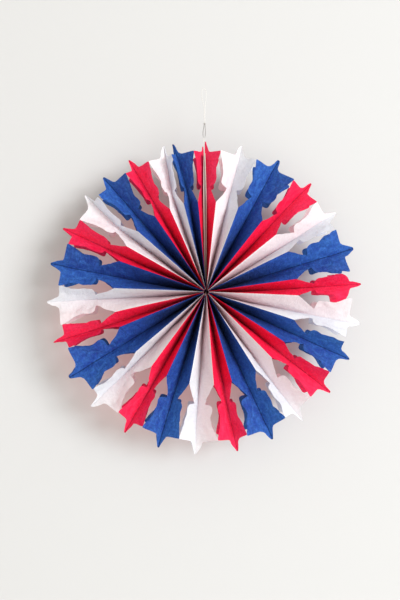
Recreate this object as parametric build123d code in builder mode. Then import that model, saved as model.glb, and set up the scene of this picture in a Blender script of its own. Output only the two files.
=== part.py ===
"""Tissue paper fan rosette, hung upright by a white thread.

The frame has +Z up and -Y to the front, and its origin is the middle of the fan. All sizes are in mm.

A stack of die-cut tissue sheets is opened through a full turn. Two sheets of one colour are glued to each other
along their centre line, which is the crease in the valley of a petal, and spread to the front and to the back.
Neighbouring petals are glued along their front and back edges from the hub to their widest place, and once more
at the side points of the star. The two end sheets of the stack stand side by side at the top, each on a strip of
greyboard, and a thread tied to both strips holds the fan closed and hangs it.
"""

import os
from math import cos, radians, sin, sqrt, tan

from build123d import *

os.makedirs("parts", exist_ok=True)

RADIUS = 200.0  # middle to tip, along a crease
HUB_RADIUS = 3.2  # the open eye at the hub
SHEET_HALF_WIDTH = 32.0  # crease to edge of the flat sheet
PAPER = 0.2  # thickness of a sheet, measured square to the crease plane
CREASE_GLUE = 0.8  # half height of the glued line in the valley
RIDGE_GLUE = 1.5  # height of the glued line on a ridge
NOMINAL_HALF_ANGLE = 360.0 / 54  # crease to ridge when the sheets are spread evenly

# Half outline of the flat sheet: distance along the crease, half width. The star-shaped head starts at the neck.
RIDGE_END = 112.5
NECK = 137.6
HEAD = RADIUS - NECK
WAIST = NECK + 0.295 * HEAD  # between the lobes and the side points
OUTLINE = [
    (HUB_RADIUS, SHEET_HALF_WIDTH),
    (RIDGE_END, SHEET_HALF_WIDTH),
    (NECK, 0.4 * SHEET_HALF_WIDTH),
    (NECK + 0.01 * HEAD, 0.64 * SHEET_HALF_WIDTH),
    (NECK + 0.042 * HEAD, 0.81 * SHEET_HALF_WIDTH),
    (WAIST, 0.76 * SHEET_HALF_WIDTH),
    (NECK + 0.638 * HEAD, SHEET_HALF_WIDTH),
    (NECK + 0.673 * HEAD, SHEET_HALF_WIDTH),
    (NECK + 0.737 * HEAD, 0.31 * SHEET_HALF_WIDTH),
    (RADIUS, 0.05 * SHEET_HALF_WIDTH),
]

# Petals in turn, counter-clockwise from the seam: colour, crease angle, lean of the tip, angle of the ridge after it.
PETALS = [
    ("red", 90.4, 0.0, 95.0),
    ("blue", 99.8, 2.5, 104.0),
    ("white", 108.3, -2.8, 113.6),
    ("red", 119.2, 0.2, 123.9),
    ("blue", 131.0, 0.0, 138.4),
    ("white", 142.6, -2.1, 150.3),
    ("red", 155.2, 0.0, 160.6),
    ("blue", 169.0, 0.0, 177.7),
    ("white", 182.8, 0.0, 192.6),
    ("red", 197.9, 0.0, 202.3),
    ("blue", 211.6, 0.0, 220.6),
    ("white", 224.9, -0.3, 233.9),
    ("red", 239.8, 0.0, 244.8),
    ("blue", 252.8, 0.0, 259.5),
    ("white", 266.1, 0.0, 274.6),
    ("red", 281.0, 0.5, 285.8),
    ("blue", 294.9, 0.0, 302.2),
    ("white", 307.4, 0.0, 314.8),
    ("red", 321.9, 0.0, 327.4),
    ("blue", 335.8, 0.0, 342.5),
    ("white", 349.3, 0.0, 358.0),
    ("red", 363.9, 0.0, 368.4),
    ("blue", 377.5, 0.0, 386.6),
    ("white", 392.1, 0.0, 399.7),
    ("red", 406.7, 0.0, 412.0),
    ("blue", 421.5, 0.0, 429.2),
    ("white", 436.2, 0.0, 443.9),
]
# Side points that came unglued: petal number, side (1 counter-clockwise, -1 clockwise), share of the width left there.
FREE_POINTS = {(22, 1): 0.86, (4, 1): 0.88, (19, 1): 0.91, (21, -1): 0.91}
SHORT_TIPS = {(0, 1): 7.0}  # the tip of the left end sheet is worn off by this much

# The greyboard strips at the seam: distance of the outer face from the middle of the seam, by height.
STRIP_BOARD = 0.8
STRIP_WIDTH = 22.0  # front to back
STRIP_FOOT = 14.0
STRIP_MIDDLE = (STRIP_FOOT + RIDGE_END) / 2
STRIP_TOP = NECK + 0.695 * HEAD
STRIP_BOW = [
    (HUB_RADIUS, 0.0),
    (STRIP_FOOT, STRIP_BOARD + 0.05),
    (STRIP_MIDDLE, STRIP_BOARD + 0.9),
    (RIDGE_END, STRIP_BOARD + 1.2),
    (NECK, STRIP_BOARD + 1.0),
    (WAIST, STRIP_BOARD + 0.7),
    (STRIP_TOP, STRIP_BOARD + 0.12),
    (RADIUS, STRIP_BOARD + 0.7),
]

# The thread: up from the left strip, through the knot, round the loop and down to the right strip. Each point is
# given sideways and above the tips of the fan.
THREAD = 0.7
THREAD_BEND = 3.0  # radius of its bends, and less at the top of the loop
KNOT = (-0.8, 24.0)
KNOT_RADIUS = 1.15
KNOT_LENGTH = 2.6
LEG_TOP = 3.0  # the legs run straight between the tips of the end sheets up to here
LEFT_STRAND = [(-3.4, 11.5), (-1.2, 21.5), (-1.2, 45.0), (-4.2, 58.5), (-4.6, 65.5), (-3.4, 71.0)]
RIGHT_STRAND = [(0.4, 71.0), (1.6, 65.5), (1.2, 58.5), (-0.4, 45.0), (-0.4, 21.5), (0.6, 11.5)]


def along(points, u):
    """The value at u on a line of straight runs."""
    for (u0, v0), (u1, v1) in zip(points, points[1:]):
        if u <= u1 + 1e-9:
            return v0 + (v1 - v0) * (u - u0) / (u1 - u0)
    return points[-1][1]


def ridge_depth(r):
    """How far a ridge stands before the middle plane, at a distance from the hub."""
    return sqrt(SHEET_HALF_WIDTH**2 - (r * tan(radians(NOMINAL_HALF_ANGLE))) ** 2)


def section(u, half_width, crease, half_angle):
    """Corners of a sheet cut square to its crease: (lateral, depth), the crease side first."""
    ridge = u * tan(radians(half_angle))
    depth = ridge_depth(u / cos(radians(half_angle)))
    part = half_width / SHEET_HALF_WIDTH
    x, y = crease + part * (ridge - crease), part * depth
    glued = RIDGE_GLUE if half_width >= SHEET_HALF_WIDTH else 0.0
    fold = min(CREASE_GLUE, 0.75 * y)
    return [
        (crease, -fold),
        (crease, fold),
        (x - PAPER, y - glued),
        (x - PAPER, y),
        (x, y),
        (x, y - glued),
        (crease + PAPER, fold),
        (crease + PAPER, -fold),
        (x, glued - y),
        (x, -y),
        (x - PAPER, -y),
        (x - PAPER, glued - y),
    ]


def flat(points):
    """Whether four points lie in one plane."""
    a, b, c, d = points
    return abs((b - a).cross(c - a).dot(d - a)) < 1e-9


def faces_between(near, far):
    """The skin between two sections, in flat faces. The paper's two sides are split the same way."""
    faces = []
    for k in range(len(near)):
        n = (k + 1) % len(near)
        quad = [near[k], near[n], far[n], far[k]]
        corners = [p for i, p in enumerate(quad) if (p - quad[i - 1]).length > 1e-6]
        if len(corners) < 3:
            continue
        if len(corners) == 3 or flat(corners):
            faces.append(corners)
        elif k in (5, 11):
            faces += [[near[k], near[n], far[k]], [near[n], far[n], far[k]]]
        else:
            faces += [[near[k], near[n], far[n]], [near[k], far[n], far[k]]]
    return faces


def sheet_solid(petal, side):
    """One tissue sheet: the half of a petal on one side of its crease, front and back."""
    _, angle, lean, ridge_after = PETALS[petal]
    ridge_before = PETALS[petal - 1][3] - (360.0 if petal == 0 else 0.0)
    half_angle = (ridge_after - angle) if side > 0 else (angle - ridge_before)
    seam = petal == 0
    heights = [u for u, _ in OUTLINE]
    heights[-1] -= SHORT_TIPS.get((petal, side), 0.0)
    if seam:
        heights = sorted(heights + [STRIP_FOOT, STRIP_MIDDLE, STRIP_TOP])
    rings = []
    for u in heights:
        width = along(OUTLINE, u)
        if (petal, side) in FREE_POINTS and u > NECK and width >= SHEET_HALF_WIDTH:
            width *= FREE_POINTS[(petal, side)]
        crease = along(STRIP_BOW, u) if seam else 0.0
        if u > NECK:
            crease += side * RADIUS * tan(radians(lean)) * (u - NECK) / (RADIUS - NECK)
        out, across = (cos(radians(angle)), sin(radians(angle))), (-sin(radians(angle)), cos(radians(angle)))
        rings.append(
            [
                Vector(u * out[0] + side * x * across[0], y, u * out[1] + side * x * across[1])
                for x, y in section(u, width, crease, half_angle)
            ]
        )
    skin = []
    for near, far in zip(rings, rings[1:]):
        skin += faces_between(near, far)
    for ring in (rings[0], rings[-1]):
        skin.append([p for i, p in enumerate(ring) if (p - ring[i - 1]).length > 1e-6])
    with BuildPart() as sheet:
        add(Solid(Shell([Face(Wire.make_polygon(corners)) for corners in skin])))
    return sheet.part


def strip_solid(side):
    """One greyboard strip, standing on edge in the seam and bowed a little outwards."""
    heights = [u for u, _ in STRIP_BOW if STRIP_FOOT <= u <= STRIP_TOP]
    outer = [(-side * along(STRIP_BOW, u), u) for u in heights]
    inner = [(-side * (along(STRIP_BOW, u) - STRIP_BOARD), u) for u in reversed(heights)]
    with BuildPart() as strip:
        with BuildSketch(Plane.XZ):
            with BuildLine():
                Polyline(*outer, *inner, close=True)
            make_face()
        extrude(amount=STRIP_WIDTH / 2, both=True)
    return strip.part.rotate(Axis.Y, -(PETALS[0][1] - 90.0))


def thread_solid():
    """The hanging thread with its knot, in the middle plane. Being this thin, it is drawn with eight sides."""
    turn = radians(PETALS[0][1] - 90.0)
    reach = along(STRIP_BOW, STRIP_TOP) - STRIP_BOARD / 2
    feet = [
        [(-u * sin(turn) - side * reach * cos(turn), u * cos(turn) - side * reach * sin(turn)) for u in heights]
        for side, heights in ((1, (STRIP_TOP, RADIUS + LEG_TOP)), (-1, (RADIUS + LEG_TOP, STRIP_TOP)))
    ]
    loop = [(x, RADIUS + z) for x, z in LEFT_STRAND + RIGHT_STRAND]
    route = feet[0] + loop + feet[1]
    corners = [Vector(*p) for p in route]
    radii = []
    for before, here, after in zip(corners, corners[1:], corners[2:]):
        bend = radians((here - before).get_angle(after - here))
        shorter = min((here - before).length, (after - here).length)
        radii.append(min(THREAD_BEND, 0.45 * shorter / tan(bend / 2)))
    print("thread radii", [round(r, 1) for r in radii])
    with BuildPart() as thread:
        with BuildLine(Plane.XZ) as line:
            FilletPolyline(*route, radius=radii)
        with BuildSketch(Plane(origin=line.line @ 0, z_dir=line.line % 0)):
            RegularPolygon(THREAD / 2, side_count=8)
        sweep()
        print("thread length", round(sum(edge.length for edge in line.edges()), 1))
        with BuildSketch(Plane.XY.offset(RADIUS + KNOT[1] - KNOT_LENGTH / 2)):
            with Locations((KNOT[0], 0)):
                Circle(KNOT_RADIUS)
        extrude(amount=KNOT_LENGTH)
    return thread.part


def store(shape, name):
    shape.label = name
    export_step(shape, f"parts/{name}.step")
    print(name, "volume", round(shape.volume, 1), "box", [round(v, 1) for v in shape.bounding_box().size])


count = {"red": 0, "blue": 0, "white": 0}
for number, petal in enumerate(PETALS):
    for side in (-1, 1):
        count[petal[0]] += 1
        store(sheet_solid(number, side), f"{petal[0]}_sheet_{count[petal[0]]:02d}")
store(strip_solid(1), "left_strip")
store(strip_solid(-1), "right_strip")
store(thread_solid(), "hanging_thread")
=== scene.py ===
# %% [markdown]
# # A tissue paper fan rosette
#
# A hanging party decoration: a stack of die-cut tissue sheets in red, blue and white that is opened
# through a full turn, tied at the top and hung before a wall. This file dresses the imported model: its
# solids fix every size and place, and the pieces made here take their places with softer, thinner paper.
# The frame is loaded first, and each step then makes one kind of piece or finish.

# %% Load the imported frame
from math import cos, pi, radians, sin, tan

import bpy
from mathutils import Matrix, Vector


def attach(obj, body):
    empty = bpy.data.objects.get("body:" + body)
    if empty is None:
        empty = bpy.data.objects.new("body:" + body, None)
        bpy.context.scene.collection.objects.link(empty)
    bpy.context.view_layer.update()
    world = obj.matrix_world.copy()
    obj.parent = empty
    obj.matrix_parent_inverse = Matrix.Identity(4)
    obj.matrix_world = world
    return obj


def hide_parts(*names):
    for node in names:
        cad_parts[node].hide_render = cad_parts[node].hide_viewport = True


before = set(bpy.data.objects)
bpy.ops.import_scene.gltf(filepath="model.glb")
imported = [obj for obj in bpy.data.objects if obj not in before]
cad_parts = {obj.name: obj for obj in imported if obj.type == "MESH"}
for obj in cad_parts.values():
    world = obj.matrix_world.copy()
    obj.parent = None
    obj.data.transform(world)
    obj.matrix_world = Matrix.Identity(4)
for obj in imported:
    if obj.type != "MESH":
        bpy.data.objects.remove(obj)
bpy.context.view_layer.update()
MM = 0.001

# %% [markdown]
# ## Camera
#
# The picture was taken from just under a metre away, a little below and to the left of the fan's middle.
# That shows in how the petals' walls face the viewer on one side and turn away on the other. A long lens
# from farther off would flatten this, so the camera stands at the real distance and looks at a point
# close to the hub.

# %% Camera
EYE_DISTANCE, EYE_AZIMUTH, EYE_ELEVATION = 0.9, radians(-2.2), radians(-6.3)
LOOK_AT = Vector((-0.0068, 0.0, -0.0071))
FOCAL_PIXELS, PICTURE_PIXELS = 708.2, 600  # focal length of the lens and longer side of the picture
SENSOR = 36.0


def place_camera():
    data = bpy.data.cameras.new("camera")
    data.sensor_width = SENSOR
    data.lens = FOCAL_PIXELS / PICTURE_PIXELS * SENSOR
    camera = bpy.data.objects.new("camera", data)
    camera.location = EYE_DISTANCE * Vector(
        (sin(EYE_AZIMUTH) * cos(EYE_ELEVATION), -cos(EYE_AZIMUTH) * cos(EYE_ELEVATION), sin(EYE_ELEVATION))
    )
    camera.rotation_euler = (LOOK_AT - camera.location).to_track_quat("-Z", "Y").to_euler()
    bpy.context.scene.collection.objects.link(camera)
    bpy.context.scene.camera = camera
    print("camera at", [round(v, 3) for v in camera.location], "lens", round(data.lens, 1))


place_camera()

# %% [markdown]
# ## Helpers for nodes and colours
#
# One function adds any node, with its settings and what goes into its sockets, and gives its first
# output. Another turns an sRGB hex colour into the linear numbers that Blender works with, and the third
# starts an empty material. The kinds of node that are used often get short names.


# %% Helpers
MATH, RANGE, MIX = "ShaderNodeMath", "ShaderNodeMapRange", "ShaderNodeMix"
NOISE, BUMP, VECTOR = "ShaderNodeTexNoise", "ShaderNodeBump", "ShaderNodeCombineXYZ"
MAPPING, PRINCIPLED = "ShaderNodeMapping", "ShaderNodeBsdfPrincipled"


def add(tree, kind, values=(), **settings):
    node = tree.nodes.new(kind)
    for key, value in settings.items():
        setattr(node, key, value)
    pairs = values.items() if isinstance(values, dict) else enumerate(values)
    for key, value in pairs:
        if isinstance(value, bpy.types.NodeSocket):
            tree.links.new(value, node.inputs[key])
        elif value is not None:
            node.inputs[key].default_value = value
    return node.outputs[0] if node.outputs else node


def linear(code):
    parts = [int(code[i : i + 2], 16) / 255 for i in (1, 3, 5)]
    # The sRGB curve is straight near black and a power above that.
    return [c / 12.92 if c <= 0.04045 else ((c + 0.055) / 1.055) ** 2.4 for c in parts] + [1.0]


def new_material(name):
    material = bpy.data.materials.new(name)
    material.use_nodes = True
    material.node_tree.nodes.clear()
    return material, material.node_tree


# %% [markdown]
# ## Thread
#
# A thin white cotton thread is tied to both end strips. It goes up from the left strip, through a small
# knot, round the loop that the fan hangs by, and back down to the right strip. A swept mesh tube would
# do, but a NURBS curve with a round bevel stays one smooth line on the few points of the route, as a
# limp thread under a light load is.

# %% Thread
THREAD = 0.7 * MM
ROUTE = [
    # sideways and up, mm
    (-1.78, 181.0),
    (-1.94, 203.0),
    (-3.4, 211.5),
    (-1.2, 221.5),
    (-1.2, 245.0),
    (-4.2, 258.5),
    (-4.6, 265.5),
    (-3.4, 271.0),
    (0.4, 271.0),
    (1.6, 265.5),
    (1.2, 258.5),
    (-0.4, 245.0),
    (-0.4, 221.5),
    (0.6, 211.5),
    (-0.9, 203.0),
    (-0.74, 181.0),
]


def make_thread():
    curve = bpy.data.curves.new("cotton_thread", "CURVE")
    curve.dimensions = "3D"
    spline = curve.splines.new("NURBS")
    spline.points.add(len(ROUTE) - 1)
    for point, (x, z) in zip(spline.points, ROUTE):
        point.co = (x * MM, 0.0, z * MM, 1.0)
        point.radius = THREAD / 2
    spline.order_u, spline.use_endpoint_u, spline.resolution_u = 3, True, 12
    curve.bevel_depth, curve.bevel_resolution, curve.use_fill_caps = 1.0, 4, True
    thread = bpy.data.objects.new("cotton_thread", curve)
    bpy.context.scene.collection.objects.link(thread)
    return thread


thread = make_thread()
print("thread on a route of", len(ROUTE), "points")

# %% [markdown]
# The knot is the thread itself, wound round its two strands. It could be modelled as a bead, but then it
# would have no crossings. A trefoil is the line of an overhand knot, so the path is its formula, with the
# thread's own section.


# %% Knot
KNOT_SIDEWAYS, KNOT_HEIGHT = -0.8, 224.0  # where its middle is, mm
KNOT_WIDTH, KNOT_DEPTH, KNOT_RISE = 0.42, 0.60, 0.50  # scale of the formula in x, y and z, mm
KNOT_POINTS = 24


def make_knot():
    curve = bpy.data.curves.new("thread_knot", "CURVE")
    curve.dimensions = "3D"
    spline = curve.splines.new("NURBS")
    spline.points.add(KNOT_POINTS - 1)
    for i, point in enumerate(spline.points):
        t = 2 * pi * i / KNOT_POINTS
        x = KNOT_WIDTH * (sin(t) + 2 * sin(2 * t))
        z = KNOT_RISE * (cos(t) - 2 * cos(2 * t))
        y = -KNOT_DEPTH * sin(3 * t)
        point.co = ((KNOT_SIDEWAYS + x) * MM, y * MM, (KNOT_HEIGHT + z) * MM, 1.0)
    spline.order_u, spline.use_cyclic_u, spline.resolution_u = 4, True, 8
    curve.bevel_depth, curve.bevel_resolution = THREAD / 2, 3
    bent = bpy.data.objects.new("knot_line", curve)
    mesh = bpy.data.meshes.new_from_object(bent)
    bpy.data.objects.remove(bent)
    knot = bpy.data.objects.new("thread_knot", mesh)
    mesh.name = "thread_knot"
    mesh.shade_smooth()
    bpy.context.scene.collection.objects.link(knot)
    return knot


knot = make_knot()
for piece in (thread, knot):
    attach(piece, "root")
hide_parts("hanging_thread")
print("knot:", len(knot.data.polygons), "faces")

# %% [markdown]
# ## The flat die-cut sheet
#
# Every sheet is cut to the same outline: a strip that is glued to its neighbours from the hub to the end
# of its ridge, then a narrow neck, two small lobes, the side points of the star and the tip. It could be
# modelled folded, but the paper is cut flat, and a flat sheet has a natural UV map: the fibres then
# follow the paper through every fold. One half of the outline is listed as the distance along the crease
# and the half width, with the place on the crease that each point is joined to. Two more cuts differ a
# little: side points whose glue let go have rounder corners, and one sheet beside the seam has a worn
# tip.

# %% Sizes of the sheet
# In mm. From the hub's middle out to the tip, half across the sheet, and out to its inner edge.
RADIUS, HALF_WIDTH, HUB = 200.0, 32.0, 3.2
# Out to the end of the ridge, the neck, the waist between the lobes and the side points of the star.
RIDGE_END, NECK, WAIST, SIDE = 112.5, 137.6, 156.0, 178.5
TIP = 184.0  # where the narrow tip begins
OUTLINE = [
    # along, half width, along the crease, rows up to here
    (HUB, HALF_WIDTH, HUB, 0),
    (RIDGE_END, HALF_WIDTH, RIDGE_END, 26),
    (NECK - 0.8, 13.3, NECK - 0.8, 9),
    (NECK, 12.8, NECK, 1),
    (NECK + 0.2, 16.6, NECK + 0.7, 1),
    (NECK + 0.5, 20.4, NECK + 1.4, 1),
    (NECK + 1.0, 23.0, NECK + 2.1, 1),
    (NECK + 2.0, 25.0, NECK + 3.0, 1),
    (NECK + 3.4, 26.0, NECK + 4.2, 1),
    (NECK + 5.4, 26.1, NECK + 6.0, 1),
    (152.0, 24.6, 152.0, 4),
    (157.0, 24.3, 156.8, 2),
    (162.0, 25.4, 161.4, 2),
    (171.0, 29.6, 168.6, 4),
    (175.6, HALF_WIDTH - 0.7, 172.4, 2),
    (SIDE - 0.9, HALF_WIDTH, 174.6, 1),
    (SIDE + 1.1, HALF_WIDTH, 176.2, 1),
    (180.4, HALF_WIDTH - 1.2, 177.6, 1),
    (181.4, 25.0, 179.6, 2),
    (182.8, 15.0, 181.6, 3),
    (TIP, 10.4, 183.4, 2),
    (186.4, 8.0, 186.2, 2),
    (198.4, 2.1, 198.4, 5),
    (199.6, 1.3, 199.6, 1),
    (RADIUS, 0.3, RADIUS, 1),
]
COLUMNS = 14  # from the crease to each edge
UV_UNIT = 100.0  # mm of paper to one unit of the UV map
ROUNDING, ROUNDING_REACH = 2.0, 9.0  # what a side point that came unglued loses, and how far along the edge
WORN_AWAY = 7.0  # what the worn tip has lost


# %% Make the flat sheet
def flat_rows(loose, worn):
    rows = [OUTLINE[0][:3]]
    for before, here in zip(OUTLINE, OUTLINE[1:]):
        for k in range(1, here[3] + 1):
            t = k / here[3]
            rows.append(tuple(a + (b - a) * t for a, b in zip(before[:3], here[:3])))
    # A side point that came unglued is rounded off, and a worn tip ends sooner.
    short = 1 - worn / (RADIUS - TIP)
    changed = []
    for u, w, crease in rows:
        if loose:
            w = min(w, HALF_WIDTH - ROUNDING * max(0.0, 1 - abs(u - SIDE) / ROUNDING_REACH))
        if u >= TIP:
            u = TIP + (u - TIP) * short
            crease = TIP + (crease - TIP) * short
        changed.append((u, w, crease))
    return changed


def flat_sheet(name, loose=False, worn=0.0):
    rows = flat_rows(loose, worn)
    across = [k / COLUMNS for k in range(-COLUMNS, COLUMNS + 1)]
    corners, flat = [], []
    for u, w, crease in rows:
        for a in across:
            flat.append((crease + abs(a) * (u - crease), a * w))
            corners.append((flat[-1][0] * MM, flat[-1][1] * MM, 0.0))
    n = len(across)
    faces = []
    for row in range(len(rows) - 1):
        for column in range(n - 1):
            first = row * n + column
            faces.append((first, first + n, first + n + 1, first + 1))
    mesh = bpy.data.meshes.new(name)
    mesh.from_pydata(corners, [], faces)
    layer = mesh.uv_layers.new(name="flat")
    for loop in mesh.loops:
        u, w = flat[loop.vertex_index]
        layer.data[loop.index].uv = (u / UV_UNIT, w / UV_UNIT)
    mesh.shade_smooth()
    # Shading breaks at the crease, as folded paper does.
    for edge in mesh.edges:
        a, b = edge.vertices
        edge.use_edge_sharp = a % n == COLUMNS and b % n == COLUMNS
    return mesh


glued_sheet = flat_sheet("sheet")
loose_sheet = flat_sheet("sheet_loose", loose=True)
worn_sheet = flat_sheet("sheet_worn", worn=WORN_AWAY)
print("flat sheet:", len(glued_sheet.polygons), "faces")

# %% [markdown]
# ## Folding a sheet
#
# The crease stays in the middle plane at the petal's angle; the front and back edges reach the ridges
# that the sheet shares with its neighbour; and the paper runs between the two as a ruled surface. A cloth
# simulation could open the stack, but it would slip at the glue lines. All sheets obey the same rule, so
# one node tree folds them, with the petal's own angles as inputs. Soft paper isn't exact, so noise moves
# each crease and each ridge a little. It is read by the number of the crease or the ridge, which makes
# the two sheets that are glued there move together. The free edges of the heads flutter, and their back
# halves stand a little higher, so that they show past the front halves.

# %% The fold tree
SHEETS = 54
OPENING = 0.5  # 0 for straight walls, 1 for walls that start square to the crease
BELLY = 2.6  # how slack the walls are
FLUTTER = 7.0  # of the free edges, mm
BACK_RISE = 4.0  # of the back edges of the heads, mm
FREE_AT, RISEN_AT = NECK + 8, NECK + 4  # where along the sheet the flutter and the rise are full
# Distances from a side point: what happens there is full within the first and gone at the second.
GLUE_SPOT, CURLED_SPOT = (2 * MM, 15 * MM), (4 * MM, 22 * MM)
# Noise in the creases, in the ridges sideways and in the depth of the ridges: how fine it is, how far it
# goes in mm, and the step from one crease or ridge to the next.
CREASE_WANDER, RIDGE_WANDER, DEPTH_WANDER = (14.0, 5.0, 0.37), (11.0, 6.0, 0.53), (9.0, 4.0, 0.71)
# The strips hold the two creases beside them this far from the seam's middle: along and sideways, mm.
STRIP_BOW = [
    (HUB, 0.0),
    (14.0, 0.85),
    (64.0, 1.7),
    (RIDGE_END, 2.0),
    (NECK, 1.8),
    (156.0, 1.5),
    (181.0, 0.92),
    (RADIUS, 1.5),
]
BOW_RANGE = 4.0  # mm at the top of the curve that holds the list
INPUTS = [
    "Crease angle",
    "Half angle",
    "Side",
    "Tip lean",
    "Seam",
    "Crease number",
    "Ridge number",
    "Loose",
    "Curl",
    "Pull",
]


def fold_tree():
    t = bpy.data.node_groups.new("fold_sheet", "GeometryNodeTree")
    t.interface.new_socket("Geometry", in_out="INPUT", socket_type="NodeSocketGeometry")
    for name in INPUTS:
        t.interface.new_socket(name, in_out="INPUT", socket_type="NodeSocketFloat")
    t.interface.new_socket("Paper", in_out="INPUT", socket_type="NodeSocketMaterial")
    t.interface.new_socket("Geometry", in_out="OUTPUT", socket_type="NodeSocketGeometry")
    given = t.nodes.new("NodeGroupInput").outputs
    place = add(t, "ShaderNodeSeparateXYZ", [add(t, "GeometryNodeInputPosition")]).node.outputs
    u, w = place["X"], place["Y"]
    # Face is -1 before the crease and 1 behind it. Part goes from 0 at the crease to 1 at the edge.
    face = add(t, MATH, [w], operation="SIGN")
    part = add(t, MATH, [add(t, MATH, [w], operation="ABSOLUTE"), HALF_WIDTH * MM], operation="DIVIDE")
    # How far out along the sheet, squared: paper near the hub can't move.
    out = add(t, MATH, [add(t, MATH, [u, RADIUS * MM], operation="DIVIDE"), 2.0], operation="POWER")

    def wander(number, grain, size, step):
        # The front and the back half read the noise a little apart.
        apart = add(t, MATH, [face, 0.05], operation="MULTIPLY")
        where = add(t, VECTOR, [u, apart, add(t, MATH, [number, step], operation="MULTIPLY")])
        noise = add(t, NOISE, {"Vector": where, "Scale": grain, "Detail": 2.0})
        centred = add(t, MATH, [noise, 0.5], operation="SUBTRACT")
        moved = add(t, MATH, [centred, size * MM], operation="MULTIPLY")
        return add(t, MATH, [moved, out], operation="MULTIPLY")

    # The crease, sideways from the petal's axis.
    head = add(t, RANGE, [u, NECK * MM, RADIUS * MM, 0.0, 1.0])
    lean = add(t, MATH, [head, given["Tip lean"]], operation="MULTIPLY")
    sway = add(t, MATH, [lean, wander(given["Crease number"], *CREASE_WANDER)], operation="ADD")
    bow = add(t, "ShaderNodeFloatCurve", [1.0, add(t, MATH, [u, RADIUS * MM], operation="DIVIDE")])
    points = bow.node.mapping.curves[0].points
    while len(points) < len(STRIP_BOW):
        points.new(0.5, 0.5)
    for point, (along, sideways) in zip(points, STRIP_BOW):
        point.location = (along / RADIUS, sideways / BOW_RANGE)
        point.handle_type = "VECTOR"
    bow.node.mapping.update()
    gap = add(t, MATH, [bow, BOW_RANGE * MM], operation="MULTIPLY")
    gap = add(t, MATH, [gap, given["Seam"]], operation="MULTIPLY")
    crease = add(t, MATH, [sway, given["Side"], gap], operation="MULTIPLY_ADD")
    # The ridge, sideways and forward.
    ridge = add(t, MATH, [u, add(t, MATH, [given["Half angle"]], operation="TANGENT")], operation="MULTIPLY")
    moved = wander(given["Ridge number"], *RIDGE_WANDER)
    ridge = add(t, MATH, [moved, given["Side"], ridge], operation="MULTIPLY_ADD")
    reach = add(t, MATH, [u, add(t, MATH, [given["Half angle"]], operation="COSINE")], operation="DIVIDE")
    spread = add(t, MATH, [reach, tan(2 * pi / SHEETS)], operation="MULTIPLY")
    spread = add(t, MATH, [spread, 2.0], operation="POWER")
    depth = add(t, MATH, [(HALF_WIDTH * MM) ** 2, spread], operation="SUBTRACT")
    depth = add(t, MATH, [depth], operation="SQRT")
    depth = add(t, MATH, [depth, wander(given["Ridge number"], *DEPTH_WANDER)], operation="ADD")
    span = add(t, MATH, [ridge, crease], operation="SUBTRACT")
    # The paper between them leaves the glued crease straight to the front and only then opens towards the
    # ridge. A slack belly is added, which is nothing at the crease and at the ridge.
    middle = add(t, MATH, [add(t, MATH, [1.0, part], operation="SUBTRACT"), part], operation="MULTIPLY")
    opening = add(t, RANGE, [u, RIDGE_END * MM, WAIST * MM, -OPENING, 0.0], interpolation_type="SMOOTHSTEP")
    opened = add(t, MATH, [middle, opening, part], operation="MULTIPLY_ADD")
    number = add(t, MATH, [given["Crease number"], 2.0, given["Side"]], operation="MULTIPLY_ADD")
    where = add(t, VECTOR, [u, w, number])
    belly = add(t, NOISE, {"Vector": where, "Scale": 28.0, "Detail": 3.0, "Roughness": 0.6})
    belly = add(t, MATH, [belly, 0.5], operation="SUBTRACT")
    belly = add(t, MATH, [belly, middle], operation="MULTIPLY")
    belly = add(t, MATH, [belly, BELLY], operation="MULTIPLY")
    side = add(t, MATH, [opened, belly], operation="ADD")
    side = add(t, MATH, [side, span, crease], operation="MULTIPLY_ADD")
    # The cut edges past the ridge are free, so they flutter, apart from the side points that are glued.
    near = add(t, MATH, [add(t, MATH, [u, SIDE * MM], operation="SUBTRACT")], operation="ABSOLUTE")
    edge = add(t, MATH, [part, 3.0], operation="POWER")
    glue = add(t, RANGE, [near, *GLUE_SPOT, 1.0, 0.0], interpolation_type="SMOOTHSTEP")
    glue = add(t, MATH, [glue, edge], operation="MULTIPLY")
    held = add(t, MATH, [1.0, given["Loose"]], operation="SUBTRACT")
    glue = add(t, MATH, [glue, held], operation="MULTIPLY")
    free = add(t, RANGE, [u, RIDGE_END * MM, FREE_AT * MM, 0.0, 1.0], interpolation_type="SMOOTHSTEP")
    free = add(t, MATH, [free, add(t, MATH, [1.0, glue], operation="SUBTRACT")], operation="MULTIPLY")
    free = add(t, MATH, [free, part], operation="MULTIPLY")
    flutter = add(t, NOISE, {"Vector": where, "Scale": 45.0, "Detail": 2.0})
    flutter = add(t, MATH, [flutter, 0.55], operation="SUBTRACT")
    flutter = add(t, MATH, [flutter, FLUTTER * MM], operation="MULTIPLY")
    side = add(t, MATH, [flutter, free, side], operation="MULTIPLY_ADD")
    # A point that came unglued curls towards its own crease, or away from it, and is drawn back towards
    # the hub.
    corner = add(t, RANGE, [near, *CURLED_SPOT, 1.0, 0.0], interpolation_type="SMOOTHSTEP")
    corner = add(t, MATH, [corner, edge], operation="MULTIPLY")
    pull = add(t, MATH, [corner, given["Pull"]], operation="MULTIPLY")
    curl = add(t, MATH, [corner, given["Curl"]], operation="MULTIPLY")
    side = add(t, MATH, [side, curl], operation="SUBTRACT")
    u = add(t, MATH, [u, pull], operation="SUBTRACT")
    fore = add(t, MATH, [add(t, MATH, [face, part], operation="MULTIPLY"), depth], operation="MULTIPLY")
    half = add(t, MATH, [face, 0.5], operation="MULTIPLY")
    fore = add(t, MATH, [curl, half, fore], operation="MULTIPLY_ADD")
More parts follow.
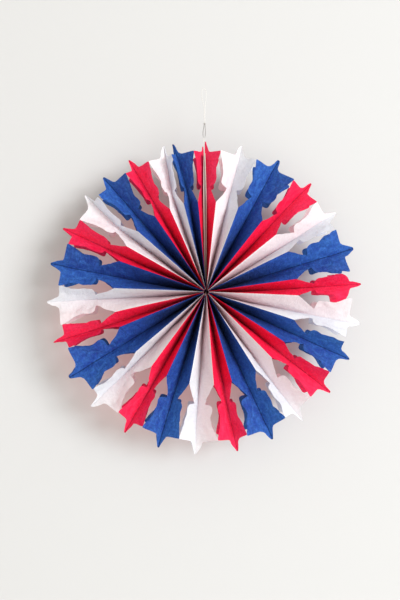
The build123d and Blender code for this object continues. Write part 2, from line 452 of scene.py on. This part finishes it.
    # Turn it to the petal's angle: along the crease, across it, and from the front to the back.
    side = add(t, MATH, [side, given["Side"]], operation="MULTIPLY")
    c = add(t, MATH, [given["Crease angle"]], operation="COSINE")
    s = add(t, MATH, [given["Crease angle"]], operation="SINE")
    x = add(t, MATH, [u, c], operation="MULTIPLY")
    x = add(t, MATH, [x, add(t, MATH, [side, s], operation="MULTIPLY")], operation="SUBTRACT")
    z = add(t, MATH, [u, s], operation="MULTIPLY")
    z = add(t, MATH, [z, add(t, MATH, [side, c], operation="MULTIPLY")], operation="ADD")
    # The heads' back halves stand a little higher than the front halves.
    behind = add(t, MATH, [add(t, MATH, [face, part], operation="MULTIPLY"), 0.0], operation="MAXIMUM")
    rise = [place["X"], RIDGE_END * MM, RISEN_AT * MM, 0.0, BACK_RISE * MM]
    rise = add(t, RANGE, rise, interpolation_type="SMOOTHSTEP")
    z = add(t, MATH, [behind, rise, z], operation="MULTIPLY_ADD")
    spot = add(t, VECTOR, [x, fore, z])
    folded = add(t, "GeometryNodeSetPosition", {"Geometry": given["Geometry"], "Position": spot})
    folded = add(t, "GeometryNodeRealizeInstances", [folded])
    folded = add(t, "GeometryNodeSetMaterial", {"Geometry": folded, "Material": given["Paper"]})
    t.links.new(folded, t.nodes.new("NodeGroupOutput").inputs[0])
    return t


fold = fold_tree()
sockets = {item.name: item.identifier for item in fold.interface.items_tree if item.in_out == "INPUT"}
print("fold tree:", len(fold.nodes), "nodes")

# %% [markdown]
# ## Tissue paper
#
# Tissue is thin paper, pressed between rollers when wet and dyed in the pulp. To the eye it is matte and
# a little cloudy where the fibres lie closer, it has fine creases from folding, and light comes through
# it. A principled surface alone would be opaque or glassy, so a rough one is mixed with a translucent
# one. The clouds are about 3 mm across. The creases are drawn about 5 mm apart and run across the sheet,
# which is coarser than most real ones, so that they show at this distance.


# %% Tissue materials
def tissue(name, lit, valley_shade_colour, through, shares, mottle, crinkle):
    # Matte and a little cloudy, with fine creases, and brighter where light comes through.
    material, t = new_material(name)
    flat = add(t, "ShaderNodeUVMap", uv_map="flat")
    clouds = add(t, NOISE, {"Vector": flat, "Scale": 34.0, "Detail": 5.0, "Roughness": 0.65})
    tone = add(t, RANGE, [clouds, 0.3, 0.7, 1 - mottle, 1 + 0.6 * mottle])
    # The glue in the crease soaks in and leaves a thin darker line, which dyed tissue shows more than white.
    along, across = add(t, "ShaderNodeSeparateXYZ", [flat]).node.outputs[:2]
    across = add(t, MATH, [across], operation="ABSOLUTE")
    line = add(t, RANGE, [across, 0.003, 0.012, 1 - 1.7 * mottle, 1.0], interpolation_type="SMOOTHSTEP")
    tone = add(t, MATH, [tone, line], operation="MULTIPLY")
    # Far down in the valleys near the hub the paper is painted darker and tinted with its neighbours'
    # colour: painted shade, with painted light thrown from sheet to sheet.
    valley_shade_mask = add(t, RANGE, [along, 0.1, 1.3, 0.95, 0.0], interpolation_type="SMOOTHSTEP")
    low = add(t, RANGE, [across, 0.23, 0.318, 1.0, 0.0], interpolation_type="SMOOTHSTEP")
    valley_shade_mask = add(t, MATH, [valley_shade_mask, low], operation="MULTIPLY")
    # Streaks along the sheet, about 5 mm wide, where the paper is thinner. Into them the colour of light
    # that comes through is painted, stronger in the head: painted light.
    long = add(t, MAPPING, {"Vector": flat, "Scale": (0.5, 1.4, 1.0)})
    streak = add(t, NOISE, {"Vector": long, "Scale": 14.0, "Detail": 5.0, "Roughness": 0.62})
    most = add(t, RANGE, [along, 0.8, 1.5, 0.1, 0.3])
    painted_through_light = add(t, RANGE, [streak, 0.42, 0.72, 0.0, most])
    shade = add(t, MIX, {0: painted_through_light, 6: linear(lit), 7: linear(through)}, data_type="RGBA").node.outputs[2]
    # Painted shade: the valley colour is mixed over the paper's own colour near the hub.
    shade = add(t, MIX, {0: valley_shade_mask, 6: shade, 7: linear(valley_shade_colour)}, data_type="RGBA").node.outputs[2]
    shade = add(t, "ShaderNodeVectorMath", [shade, None, None, tone], operation="SCALE")
    glow = add(t, "ShaderNodeVectorMath", [linear(through)[:3], None, None, tone], operation="SCALE")
    # Fine creases across the sheet, which also break up what little shine there is.
    stretched = add(t, MAPPING, {"Vector": flat, "Scale": (2.4, 1.0, 1.0)})
    crepe = {"Vector": stretched, "Scale": 9.0, "Detail": 7.0, "Roughness": 0.62, "Distortion": 0.6}
    crepe = add(t, NOISE, crepe)
    bump = add(t, BUMP, {"Strength": crinkle, "Distance": 0.004, "Height": crepe})
    rough = add(t, RANGE, [crepe, 0.3, 0.7, 0.7, 0.88])
    paper = {"Base Color": shade, "Roughness": rough, "Specular IOR Level": 0.25, "Normal": bump}
    paper = add(t, PRINCIPLED, paper)
    back = add(t, "ShaderNodeBsdfTranslucent", {"Color": glow, "Normal": bump})
    # The single sheets of the star let more light through than the folded part with its glue.
    thin = add(t, RANGE, [along, 0.7, 1.4, *shares])
    both = add(t, "ShaderNodeMixShader", [thin, paper, back])
    add(t, "ShaderNodeOutputMaterial", {"Surface": both})
    return material


# Colours of a lit sheet, of the painted valley shade near the hub and of light that comes through; the
# shares of light that come through near the hub and at the heads; how cloudy the dye is; and how much the
# creases show.
papers = {
    "red": tissue("red_dyed_tissue", "#FA0040", "#B0062C", "#FF6090", (0.06, 0.3), 0.18, 0.7),
    "blue": tissue("blue_dyed_tissue", "#20449C", "#0D0C20", "#5CA8F8", (0.05, 0.24), 0.32, 0.8),
    "white": tissue("white_tissue", "#F1F2F5", "#E6C4CA", "#FAFBFD", (0.22, 0.37), 0.05, 0.35),
}
print("papers:", ", ".join(paper.name for paper in papers.values()))

# %% [markdown]
# ## The petals
#
# A petal is two sheets of one colour, glued along the crease between them. A bought fan opens unevenly,
# so equal steps of angle would look like a drawing. The list gives each petal's colour, the angle of its
# crease, the lean of its tip and the angle of the ridge after it, in degrees, counter-clockwise from the
# seam at the top. Each sheet is the flat sheet put through the fold tree and kept as a plain mesh.

# %% Petals in turn
PETALS = [
    ("red", 90.4, 0.0, 95.0),
    ("blue", 99.8, 2.5, 104.0),
    ("white", 108.3, -2.8, 113.6),
    ("red", 119.2, 0.2, 123.9),
    ("blue", 131.0, 0.0, 138.4),
    ("white", 142.6, -2.1, 150.3),
    ("red", 155.2, 0.0, 160.6),
    ("blue", 169.0, 0.0, 177.7),
    ("white", 182.8, 0.0, 192.6),
    ("red", 197.9, 0.0, 202.3),
    ("blue", 211.6, 0.0, 220.6),
    ("white", 224.9, -0.3, 233.9),
    ("red", 239.8, 0.0, 244.8),
    ("blue", 252.8, 0.0, 259.5),
    ("white", 266.1, 0.0, 274.6),
    ("red", 281.0, 0.5, 285.8),
    ("blue", 294.9, 0.0, 302.2),
    ("white", 307.4, 0.0, 314.8),
    ("red", 321.9, 0.0, 327.4),
    ("blue", 335.8, 0.0, 342.5),
    ("white", 349.3, 0.0, 358.0),
    ("red", 363.9, 0.0, 368.4),
    ("blue", 377.5, 0.0, 386.6),
    ("white", 392.1, 0.0, 399.7),
    ("red", 406.7, 0.0, 412.0),
    ("blue", 421.5, 0.0, 429.2),
    ("white", 436.2, 0.0, 443.9),
]
# Unglued side points: petal, side, how far the point curls in and how far it is drawn back, mm.
LOOSE = {
    (22, 1): (0.5, 0.0),
    (4, 1): (1.5, 0.0),
    (19, 1): (6.0, 0.0),
    (21, -1): (-6.0, 12.0),
    (21, 1): (0.0, 12.0),
}
WORN = (0, 1)  # the left end sheet, whose tip is 7 mm shorter


# %% Fold every sheet
def fold_sheet(name, petal, side):
    colour, angle, lean, after = PETALS[petal]
    before = PETALS[petal - 1][3] - (360.0 if petal == 0 else 0.0)
    half = after - angle if side > 0 else angle - before
    loose = (petal, side) in LOOSE
    curl, pull = LOOSE.get((petal, side), (0.0, 0.0))
    cut = worn_sheet if (petal, side) == WORN else loose_sheet if loose else glued_sheet
    piece = bpy.data.objects.new(name, cut)
    bpy.context.scene.collection.objects.link(piece)
    modifier = piece.modifiers.new("fold", "NODES")
    modifier.node_group = fold
    values = [radians(angle), radians(half), side, RADIUS * MM * tan(radians(lean)), petal == 0]
    values += [petal, petal if side > 0 else (petal - 1) % len(PETALS), loose, curl * MM, pull * MM]
    for label, value in zip(INPUTS, values):
        modifier[sockets[label]] = float(value)
    modifier[sockets["Paper"]] = papers[colour]
    bpy.context.view_layer.update()
    shape = bpy.data.meshes.new_from_object(piece.evaluated_get(bpy.context.evaluated_depsgraph_get()))
    piece.modifiers.clear()
    piece.data = shape
    shape.name = name
    return piece


numbers = {"red": 0, "blue": 0, "white": 0}
for petal, (colour, *_) in enumerate(PETALS):
    for side in (-1, 1):
        numbers[colour] += 1
        label = f"{numbers[colour]:02d}"
        piece = fold_sheet(f"{colour}_tissue_{label}", petal, side)
        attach(piece, "root")
        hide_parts(f"{colour}_sheet_{label}")
print("sheets folded:", sum(numbers.values()), "triangles:", 2 * SHEETS * len(glued_sheet.polygons))

# %% [markdown]
# ## Greyboard and cotton
#
# The end strips are greyboard, pressed from waste paper: matte, warm grey, with darker and lighter
# fibres. Stiff board needs no softer shape, so the strips keep their solids and only get the material.
# Cotton thread is spun from two plies, whose turns could be modelled as two wound strands; at 0.7 mm they
# are shown by slanting bands instead.


# %% Greyboard and cotton materials
GREY_STARTS, GREY_ENDS = (202 * MM, 208 * MM), (221 * MM, 227 * MM)  # heights on the thread


def greyboard():
    # Bundles of fibre about 1 mm wide and 3 mm long, speckled light and dark, with no shine.
    material, t = new_material("greyboard_pressed")
    place = add(t, "ShaderNodeTexCoord").node.outputs["Object"]
    stretched = add(t, MAPPING, {"Vector": place, "Scale": (1.0, 1.0, 0.35)})
    fibre = add(t, NOISE, {"Vector": stretched, "Scale": 900.0, "Detail": 6.0, "Roughness": 0.7})
    tone = {0: fibre, 6: linear("#A9A294"), 7: linear("#E2DCD0")}
    tone = add(t, MIX, tone, data_type="RGBA").node.outputs[2]
    bump = add(t, BUMP, {"Strength": 0.4, "Distance": 0.0002, "Height": fibre})
    board = {"Base Color": tone, "Roughness": 0.9, "Specular IOR Level": 0.2, "Normal": bump}
    board = add(t, PRINCIPLED, board)
    add(t, "ShaderNodeOutputMaterial", {"Surface": board})
    return material


def cotton():
    # Soft and white, with a slanting band about every 2 mm, where one of the two plies passes.
    material, t = new_material("cotton_thread_two_ply")
    place = add(t, "ShaderNodeTexCoord").node.outputs["Object"]
    ply = {"Vector": place, "Scale": 320.0, "Distortion": 1.2, "Detail": 1.0}
    ply = add(t, "ShaderNodeTexWave", ply, bands_direction="DIAGONAL")
    tone = {0: ply, 6: linear("#C2C0BC"), 7: linear("#E8E6E2")}
    tone = add(t, MIX, tone, data_type="RGBA").node.outputs[2]
    # From where the strands part above the fan up to the knot the thread is darker grey.
    height = add(t, "ShaderNodeSeparateXYZ", [place]).node.outputs["Z"]
    above = add(t, RANGE, [height, *GREY_STARTS, 0.0, 1.0], interpolation_type="SMOOTHSTEP")
    below = add(t, RANGE, [height, *GREY_ENDS, 0.9, 0.0], interpolation_type="SMOOTHSTEP")
    grey = add(t, MATH, [above, below], operation="MULTIPLY")
    tone = add(t, MIX, {0: grey, 6: tone, 7: linear("#77736F")}, data_type="RGBA").node.outputs[2]
    bump = add(t, BUMP, {"Strength": 0.5, "Distance": 0.0002, "Height": ply})
    yarn = {"Base Color": tone, "Roughness": 0.85, "Specular IOR Level": 0.2, "Normal": bump}
    yarn = add(t, PRINCIPLED, yarn)
    add(t, "ShaderNodeOutputMaterial", {"Surface": yarn})
    return material


board, yarn = greyboard(), cotton()
for name in ("left_strip", "right_strip"):
    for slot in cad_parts[name].material_slots:
        slot.material = board
for piece in (thread, knot):
    piece.data.materials.clear()
    piece.data.materials.append(yarn)
print("strips and thread dressed")

# %% [markdown]
# ## Wall, floor and light
#
# The fan hangs close before a pale wall, on which it casts a soft shadow to the left, so the main light
# comes from a large window on the right. A hard lamp would draw each petal's outline on the wall, and a
# bright sky alone would leave no shadow. Weak light from below stands for what a pale floor throws back.
# The wall faces the front only: seen from behind it lets the view through, so that the back of the fan
# can be looked at too.

# %% Wall and floor
WALL_GAP, FLOOR_LEVEL = 0.058, -1.5
GLOW_MIDDLE = (-0.045, WALL_GAP, -0.03)
GLOW_RADII, GLOW_STRENGTH = (0.11, 0.2), 0.26  # full within the first radius, gone at the second


def pane(name, corners, faces_front):
    mesh = bpy.data.meshes.new(name)
    mesh.from_pydata(corners, [], [(0, 1, 2, 3)])
    stage = bpy.data.objects.new(name, mesh)
    bpy.context.scene.collection.objects.link(stage)
    # Matte paint in a pale neutral grey: with no shine the wall stays even behind the fan.
    material, t = new_material(name + "_paint")
    paint = add(t, "ShaderNodeBsdfDiffuse", {"Color": linear("#C6C6C5")})
    if faces_front:
        # Light that the tissue lets through tints the wall behind the fan warm.
        # A weak glow stands for it.
        place = add(t, "ShaderNodeTexCoord").node.outputs["Object"]
        place = add(t, "ShaderNodeVectorMath", [place, GLOW_MIDDLE], operation="SUBTRACT")
        far = add(t, "ShaderNodeVectorMath", [place], operation="LENGTH").node.outputs["Value"]
        glow = add(t, RANGE, [far, *GLOW_RADII, GLOW_STRENGTH, 0.0], interpolation_type="SMOOTHSTEP")
        glow = add(t, "ShaderNodeEmission", [linear("#FFBFB4"), glow])
        paint = add(t, "ShaderNodeAddShader", [paint, glow])
        clear = add(t, "ShaderNodeBsdfTransparent")
        behind = add(t, "ShaderNodeNewGeometry").node.outputs["Backfacing"]
        paint = add(t, "ShaderNodeMixShader", [behind, paint, clear])
    add(t, "ShaderNodeOutputMaterial", {"Surface": paint})
    mesh.materials.append(material)


bottom, top, gap = FLOOR_LEVEL, 2.5, WALL_GAP
pane("wall", [(-3, gap, bottom), (3, gap, bottom), (3, gap, top), (-3, gap, top)], True)
pane("floor", [(-3, -4, bottom), (3, -4, bottom), (3, 3, bottom), (-3, 3, bottom)], False)
print("wall", WALL_GAP, "m behind the fan's middle, floor", -FLOOR_LEVEL, "m below it")


# %% Lights
def area_light(name, place, target, size, power, tint):
    data = bpy.data.lights.new(name, "AREA")
    data.shape, data.size, data.energy = "SQUARE", size, power
    data.color = linear(tint)[:3]
    lamp = bpy.data.objects.new(name, data)
    lamp.location = place
    lamp.rotation_euler = (Vector(target) - Vector(place)).to_track_quat("-Z", "Y").to_euler()
    bpy.context.scene.collection.objects.link(lamp)
    print(name, "at", place, power, "W")


# The window on the right, and what the floor throws back.
area_light("window", (3.1, -3.7, 0.6), (0, 0, 0), 2.0, 222.0, "#F7FBFF")
area_light("bounce", (0.2, -1.7, -1.3), (0, 0, -0.2), 1.6, 12.0, "#FFFCF8")
world = bpy.data.worlds.new("room")
world.use_nodes = True
world.node_tree.nodes.clear()
sky = add(world.node_tree, "ShaderNodeBackground", {"Color": linear("#FFF9F1"), "Strength": 0.87})
add(world.node_tree, "ShaderNodeOutputWorld", {"Surface": sky})
bpy.context.scene.world = world
bpy.context.scene.view_settings.view_transform = "Standard"

# %% Finish
bpy.context.view_layer.update()
